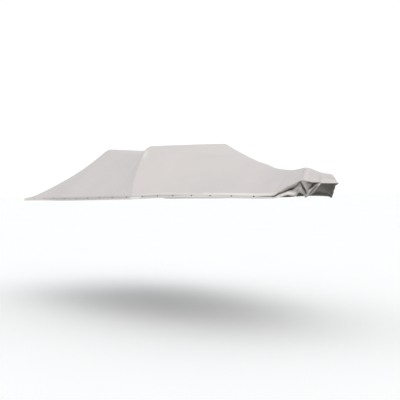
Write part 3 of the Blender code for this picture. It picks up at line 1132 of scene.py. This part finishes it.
@dataclass
class CanvasPanel:
    """One cut of canvas, a thin sheet over a range of the grid's ribs."""

    name: str
    node: str
    first_x: float
    last_x: float
    lift: float
    flat: tuple[float, float]
    stern_hem: bool = False
    thickness: float = 0.0012
    stern_bulge: float = 0.003
    stern_pitch: float = 0.42

    def build(self, grid: ClothGrid, outer: Material, inner: Material) -> Object:
        """Make the panel.

        Args:
            grid: the cover's grid.
            outer: material of the face that shows.
            inner: material of the underside.

        Returns:
            The panel's object.
        """
        cut = self.cut_from(grid)
        if self.stern_hem:
            cut = self.with_stern_hem(cut, grid)
        obj = link(self.name, self.make_mesh(cut))
        obj.data.materials.append(outer)
        obj.data.materials.append(inner)
        solid = obj.modifiers.new("cloth", "SOLIDIFY")
        solid.thickness = self.thickness
        solid.offset = -1.0
        solid.material_offset = 1
        solid.material_offset_rim = 0
        return obj

    def cut_from(self, grid: ClothGrid) -> PanelGrid:
        """The panel's own ribs of the cover's grid.

        Args:
            grid: the cover's grid.

        Returns:
            The panel's points.
        """
        low = grid.rib_index(self.first_x)
        high = grid.rib_index(self.last_x) + 1
        points = grid.points[low:high] + self.lift * grid.normals()[low:high]
        ribs, columns = points.shape[:2]
        across = grid.up[low:high] * -grid.side[None, :]
        along = np.broadcast_to(grid.xs[low:high, None], across.shape)
        uv = np.stack([across, along], axis=2)
        index = np.arange(ribs * columns).reshape(ribs, columns)
        return PanelGrid(points.reshape(-1, 3), uv.reshape(-1, 2), grid.tone[low:high].ravel(), (index,))

    def with_stern_hem(self, cut: PanelGrid, grid: ClothGrid) -> PanelGrid:
        """The panel with the hem across the stern, which hangs from its first rib.

        Args:
            cut: the panel's points.
            grid: the cover's grid.

        Returns:
            The points with the hem's own added.
        """
        skirt = grid.plan.skirt_rows
        stern = cut.indices[0][0]
        inner = stern[skirt:-skirt]
        top = cut.points[inner[1:-1]]
        y = top[:, 1]
        out, down = np.array(grid.form.skirt(0.0, Side.PORT, skirt)).T[:, :, None]
        level = down / HEM[-1].down
        bulge = self.stern_bulge * np.abs(np.sin(math.pi * y / self.stern_pitch)) * level
        drop = down - grid.ear_droop * grid.ear[0, skirt + 1:-skirt - 1] * level
        points = top + np.stack([-out - bulge, 0.0 * drop, -drop], axis=2)
        uv = np.stack([y + 0.0 * drop, 0.0 * drop - down], axis=2)
        index = np.zeros((skirt + 1, len(inner)), int)
        index[-1] = inner
        index[:-1, 0] = stern[:skirt]
        index[:-1, -1] = stern[::-1][:skirt]
        index[:-1, 1:-1] = len(cut.points) + np.arange(drop.size).reshape(drop.shape)
        # The stern's hem takes the hem's painted light at the stern.
        return PanelGrid(
            np.concatenate([cut.points, points.reshape(-1, 3)]),
            np.concatenate([cut.uv, uv.reshape(-1, 2)]),
            np.concatenate([cut.tone, np.full(drop.size, PAINTED_SHADING[Zone.HEM][0][1])]),
            cut.indices + (index,),
        )

    @staticmethod
    def make_mesh(cut: PanelGrid) -> Mesh:
        """A smooth mesh with the cloth's UV map and its tone, equal points merged.

        Args:
            cut: the panel's points.

        Returns:
            The mesh of the outer face, which looks outwards.
        """
        loops: list[tuple[int, ...]] = []
        for index in cut.indices:
            for first, second in zip(index.tolist(), index[1:].tolist()):
                loops += zip(first, second, second[1:], first[1:])
        mesh = bpy.data.meshes.new("cloth")
        mesh.from_pydata(cut.points.tolist(), [], sound_faces(loops))
        layer = mesh.uv_layers.new(name=CLOTH_MAP)
        corners = np.zeros(len(mesh.loops), int)
        mesh.loops.foreach_get("vertex_index", corners)
        layer.data.foreach_set("uv", cut.uv[corners].astype(np.float32).ravel())
        attribute = mesh.attributes.new(TONE, "FLOAT", "POINT")
        attribute.data.foreach_set("value", cut.tone.astype(np.float32))
        bm = bmesh.new()
        bm.from_mesh(mesh)
        bmesh.ops.remove_doubles(bm, verts=bm.verts, dist=SAME_POINT)
        bm.to_mesh(mesh)
        bm.free()
        mesh.shade_smooth()
        return mesh


def instancing_tree(name: str, along_curve: bool) -> NodeTree:
    """A geometry tree that sets a small thing on points, its Z along the points' outward attribute.

    Args:
        name: the tree's name.
        along_curve: whether the points are spaced along the input's edges and the things lie along them too.

    Returns:
        A tree with inputs Geometry, Thing, Spacing, Size and Finish.
    """
    inputs = {
        "Geometry": "NodeSocketGeometry",
        "Thing": "NodeSocketObject",
        "Spacing": "NodeSocketFloat",
        "Size": "NodeSocketVector",
        "Finish": "NodeSocketMaterial",
    }
    nodes, given = open_tree(name, "GeometryNodeTree", inputs, {"Geometry": "NodeSocketGeometry"})
    points = given["Geometry"]
    vector = {"data_type": "FLOAT_VECTOR"}
    outward = nodes.add("GeometryNodeInputNamedAttribute", vector, Name=OUTWARD).outputs["Attribute"]
    along: object = tuple(UP)
    if along_curve:
        curve = nodes.add("GeometryNodeMeshToCurve", Mesh=points).outputs["Curve"]
        points = nodes.add("GeometryNodeResampleCurve", {"mode": "LENGTH"}, Curve=curve,
                           Length=given["Spacing"]).outputs["Curve"]
        along = nodes.add("GeometryNodeInputTangent").outputs["Tangent"]
    upright = nodes.add("FunctionNodeAlignRotationToVector", {"axis": "Z"}, Vector=outward)
    turned = nodes.add("FunctionNodeAlignRotationToVector", {"axis": "X", "pivot_axis": "Z"},
                       Rotation=upright.outputs["Rotation"], Vector=along)
    thing = nodes.add("GeometryNodeObjectInfo", Object=given["Thing"])
    placed = nodes.add("GeometryNodeInstanceOnPoints", Points=points, Instance=thing.outputs["Geometry"],
                       Rotation=turned.outputs["Rotation"], Scale=given["Size"])
    real = nodes.add("GeometryNodeRealizeInstances", Geometry=placed.outputs["Instances"])
    finished = nodes.add("GeometryNodeSetMaterial", Geometry=real.outputs["Geometry"],
                         Material=given["Finish"])
    nodes.add("NodeGroupOutput", Geometry=finished.outputs["Geometry"])
    return nodes.tree


def set_out(
    name: str,
    paths: list[list[tuple[Vector, Vector]]],
    thing: Object,
    finish: Material,
    size: Triple,
    spacing: float | None = None,
) -> Object:
    """Set a small thing on every point of some paths, or evenly along them, as one plain mesh.

    Args:
        name: the new piece's name.
        paths: for each path, the place and the outward direction of its points.
        thing: what is set out, which is removed.
        finish: its material.
        size: how much it is scaled along each of its axes.
        spacing: distance along the paths, or None for one on each point.

    Returns:
        The new piece.
    """
    points: list[Vector] = []
    outward: list[float] = []
    edges: list[tuple[int, int]] = []
    for path in paths:
        edges += [(len(points) + k, len(points) + k + 1) for k in range(len(path) - 1)]
        for place, normal in path:
            points.append(place)
            outward.extend(normal)
    mesh = bpy.data.meshes.new(name)
    mesh.from_pydata([tuple(point) for point in points], edges, [])
    mesh.attributes.new(OUTWARD, "FLOAT_VECTOR", "POINT").data.foreach_set("vector", outward)
    carrier = link(name + "_places", mesh)
    values = {"Thing": thing, "Finish": finish, "Size": size, "Spacing": spacing or 0.0}
    modifier = carrier.modifiers.new("set_out", "NODES")
    modifier.node_group = instancing_tree(name + "_rows", along_curve=spacing is not None)
    for item in modifier.node_group.interface.items_tree:
        if item.in_out == "INPUT" and item.name in values:
            modifier[item.identifier] = values[item.name]
    piece = plain(carrier, name)
    piece.data.shade_smooth()
    bpy.data.objects.remove(thing, do_unlink=True)
    return piece


@dataclass
class Stitching:
    """Rows of lockstitch along the hem and the lapped seam, each stitch a low grain."""

    length: float = 0.0056
    spacing: float = 0.0078
    width: float = 0.0011
    height: float = 0.0007
    hem_rows: tuple[float, ...] = (-0.036, 0.007)
    seam_rows: tuple[float, ...] = (0.006, 0.024)
    sides: int = 6
    grain: Pairs = ((0.0, -0.5), (0.3536, -0.3536), (0.5, 0.0), (0.3536, 0.3536), (0.0, 0.5))

    def build(self, grid: ClothGrid, lift: float, thread: Material) -> Object:
        """Sew the cover.

        Args:
            grid: the cover's grid.
            lift: how far the forward panel stands off the grid.
            thread: material of the thread.

        Returns:
            All the stitches as one piece.
        """
        paths = [grid.path_along(side, up, lift) for side in Side for up in self.hem_rows]
        paths += [grid.path_across(grid.form.seam_x + offset, lift) for offset in self.seam_rows]
        stitch = turned("stitch", self.grain, self.sides)
        size = (self.length, self.width, self.height)
        return set_out("stitching", paths, stitch, thread, size, self.spacing)


@dataclass
class SnapCaps:
    """Domed caps of the press studs along the hem: a rolled rim, a shoulder and a low dome with a dimple."""

    radius: float = 0.0078
    height: float = 0.0036
    sides: int = 24
    sink: float = 0.0006
    starboard: tuple[float, ...] = (
        0.26, 0.66, 1.03, 1.405, 1.76, 2.09, 2.41, 2.70, 2.96, 3.24, 3.47, 3.69, 3.93, 4.13, 4.33, 4.52, 4.67,
    )
    port_bow: tuple[float, ...] = (4.80, 4.93, 5.05)
    stern_caps: int = 5
    dome: Pairs = (
        (0.96, 0.00), (1.00, 0.16), (0.98, 0.36), (0.90, 0.50), (0.80, 0.52), (0.72, 0.70), (0.52, 0.92),
        (0.28, 1.00), (0.12, 0.97),
    )

    def places(self) -> dict[Side, list[float]]:
        """Foot positions of the snaps on each side."""
        return {Side.STARBOARD: list(self.starboard), Side.PORT: list(self.starboard + self.port_bow)}

    def build(self, grid: ClothGrid, lift: float, metal: Material) -> Object:
        """Set every cap on the hem.

        Args:
            grid: the cover's grid.
            lift: how far the forward panel stands off the grid.
            metal: the caps' material.

        Returns:
            All the caps as one piece.
        """
        spots: list[tuple[Vector, Vector]] = []
        for side, xs in self.places().items():
            path = grid.path_along(side, -grid.form.snap_drop, lift)
            for x in xs:
                place, normal = path[grid.rib_index(x)]
                level = Vector((normal.x, normal.y, 0.0)).normalized()
                spots.append((place - level * self.sink, level))
        for number in range(1, self.stern_caps + 1):
            low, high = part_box(f"snap_transom_{number:02d}")
            middle = (low + high) / 2.0
            spots.append((Vector((high.x, middle.y, middle.z)), Vector((-1.0, 0.0, 0.0))))
        cap = turned("cap", self.dome, self.sides)
        size = (self.radius, self.radius, self.height)
        return set_out("snap_caps", [[spot] for spot in spots], cap, metal, size)


@dataclass
class Studio:
    """Pale floor, soft light and the camera."""

    floor_z: float = -1.983
    floor_size: float = 120.0
    floor: PlainFinish = PlainFinish(
        "pale_floor", clean=(250.3,) * 3, dull=(249.1,) * 3, smooth=0.9, rough=0.9, patches=0.5
    )
    camera_at: Triple = (9.236, -5.599, -0.383)
    look: Triple = (-0.851, 0.5255, -0.02544)
    focal_px: float = 904.0
    frame_px: float = 400.0
    sensor_mm: float = 36.0
    far: float = 200.0
    ambient: float = 0.92
    sky: Triple = (0.97, 0.985, 1.0)
    backdrop: float = 1.05
    key_power: float = 0.75
    key_colour: Triple = (1.0, 0.965, 0.92)
    key_softness: float = 50.0
    key_direction: Triple = (-0.80, 0.12, -0.60)

    def build_floor(self) -> None:
        """A plain pale floor, as far below the cover as the ground is in use."""
        half = self.floor_size / 2.0
        corners = [(-half, -half), (half, -half), (half, half), (-half, half)]
        mesh = bpy.data.meshes.new("floor")
        mesh.from_pydata([(x, y, self.floor_z) for x, y in corners], [], [(0, 1, 2, 3)])
        floor = link("floor", mesh)
        mesh.materials.append(self.floor.make())

    def build_camera(self) -> None:
        """The camera, at the photograph's place and angle."""
        data = bpy.data.cameras.new("camera")
        data.sensor_width = self.sensor_mm
        data.lens = self.focal_px / self.frame_px * data.sensor_width
        data.clip_end = self.far
        camera = link("camera", data)
        camera.location = self.camera_at
        aim(camera, self.look)
        bpy.context.scene.camera = camera

    def build_sky(self) -> None:
        """An even sky, seen as a white backdrop."""
        world = bpy.data.worlds.new("studio")
        world.use_nodes = True
        nodes = NodeBuilder(world.node_tree)
        world.node_tree.nodes.clear()
        sky = nodes.add("ShaderNodeBackground", Color=(*self.sky, 1.0), Strength=self.ambient)
        seen = nodes.add("ShaderNodeBackground", Color=(1.0, 1.0, 1.0, 1.0), Strength=self.backdrop)
        mixed = nodes.add("ShaderNodeMixShader")
        nodes.feed(mixed, 0, nodes.add("ShaderNodeLightPath").outputs["Is Camera Ray"])
        nodes.feed(mixed, 1, sky.outputs[0])
        nodes.feed(mixed, 2, seen.outputs[0])
        nodes.add("ShaderNodeOutputWorld", Surface=mixed.outputs[0])
        bpy.context.scene.world = world

    def build_key(self) -> None:
        """One broad soft light from above the bow."""
        data = bpy.data.lights.new("key", "SUN")
        data.angle = math.radians(self.key_softness)
        data.energy = self.key_power
        data.color = self.key_colour
        aim(link("key", data), self.key_direction)

    def build(self) -> None:
        """Set up everything round the object."""
        self.build_floor()
        self.build_camera()
        self.build_sky()
        self.build_key()
        view = bpy.context.scene.view_settings
        view.view_transform = "Standard"
        view.look = "None"


@dataclass
class BoatCover:
    """The whole cover: two panels, stitching and caps."""

    lap: float = 0.030
    lift: float = 0.0025
    aft_cut: tuple[float, float] = (2.95, 3.20)
    forward_cut: tuple[float, float] = (3.20, 2.75)
    form: CoverForm = field(default_factory=CoverForm)
    plan: GridPlan = field(default_factory=GridPlan)
    caps: SnapCaps = field(default_factory=SnapCaps)
    stitching: Stitching = field(default_factory=Stitching)
    # Each canvas finish carries its own colours of painted shade and painted highlight.
    outer: CanvasFinish = CanvasFinish(
        "canvas", cloth=(206, 200, 198), faded=(200, 195, 194), shade_colour=(66, 63, 56), highlight_colour=(236, 231, 220)
    )
    inner: CanvasFinish = CanvasFinish(
        "underside", cloth=(86, 84, 78), faded=(80, 78, 72), shade_colour=(48, 46, 42), highlight_colour=(98, 96, 90)
    )
    thread: PlainFinish = PlainFinish(
        "thread", clean=(196, 193, 188), dull=(172, 170, 165), smooth=0.6, rough=0.6, patches=30.0
    )
    metal: PlainFinish = PlainFinish(
        "snap_metal", clean=(70, 70, 68), dull=(48, 47, 45), smooth=0.32, rough=0.55, patches=90.0,
        metallic=0.75,
    )

    def panels(self) -> tuple[CanvasPanel, CanvasPanel]:
        """Lay out the two cuts of canvas.

        Returns:
            The aft and the forward panel.
        """
        seam, bow = self.form.seam_x, self.form.bow_x
        aft = CanvasPanel("aft_canvas", "aft_panel", 0.0, seam + self.lap, 0.0, self.aft_cut, stern_hem=True)
        forward = CanvasPanel("forward_canvas", "forward_panel", seam, bow, self.lift, self.forward_cut)
        return aft, forward

    def build(self) -> None:
        """Make every piece, attach it to the body and hide the CAD parts that it stands for."""
        grid = ClothGrid(self.form, self.plan, self.lap, self.caps.places())
        outer = self.outer.make()
        inner = self.inner.make()
        stitches = self.stitching.build(grid, self.lift, self.thread.make())
        caps = self.caps.build(grid, self.lift, self.metal.make())
        for panel in self.panels():
            obj = panel.build(grid, outer, inner)
            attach(obj, BODY)
            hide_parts(panel.node)
        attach(stitches, BODY)
        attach(caps, BODY)
        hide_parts(*[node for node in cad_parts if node.startswith("snap_")])
        for piece in (stitches, caps):
            log.info("%s: %d faces", piece.name, len(piece.data.polygons))


def main() -> None:
    """Build the cover, which logs the faces of its stitching and caps, then the studio round it."""
    logging.basicConfig(level=logging.INFO, format="%(name)s: %(message)s")
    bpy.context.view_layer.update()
    BoatCover().build()
    Studio().build()


if __name__ == "__main__":
    main()
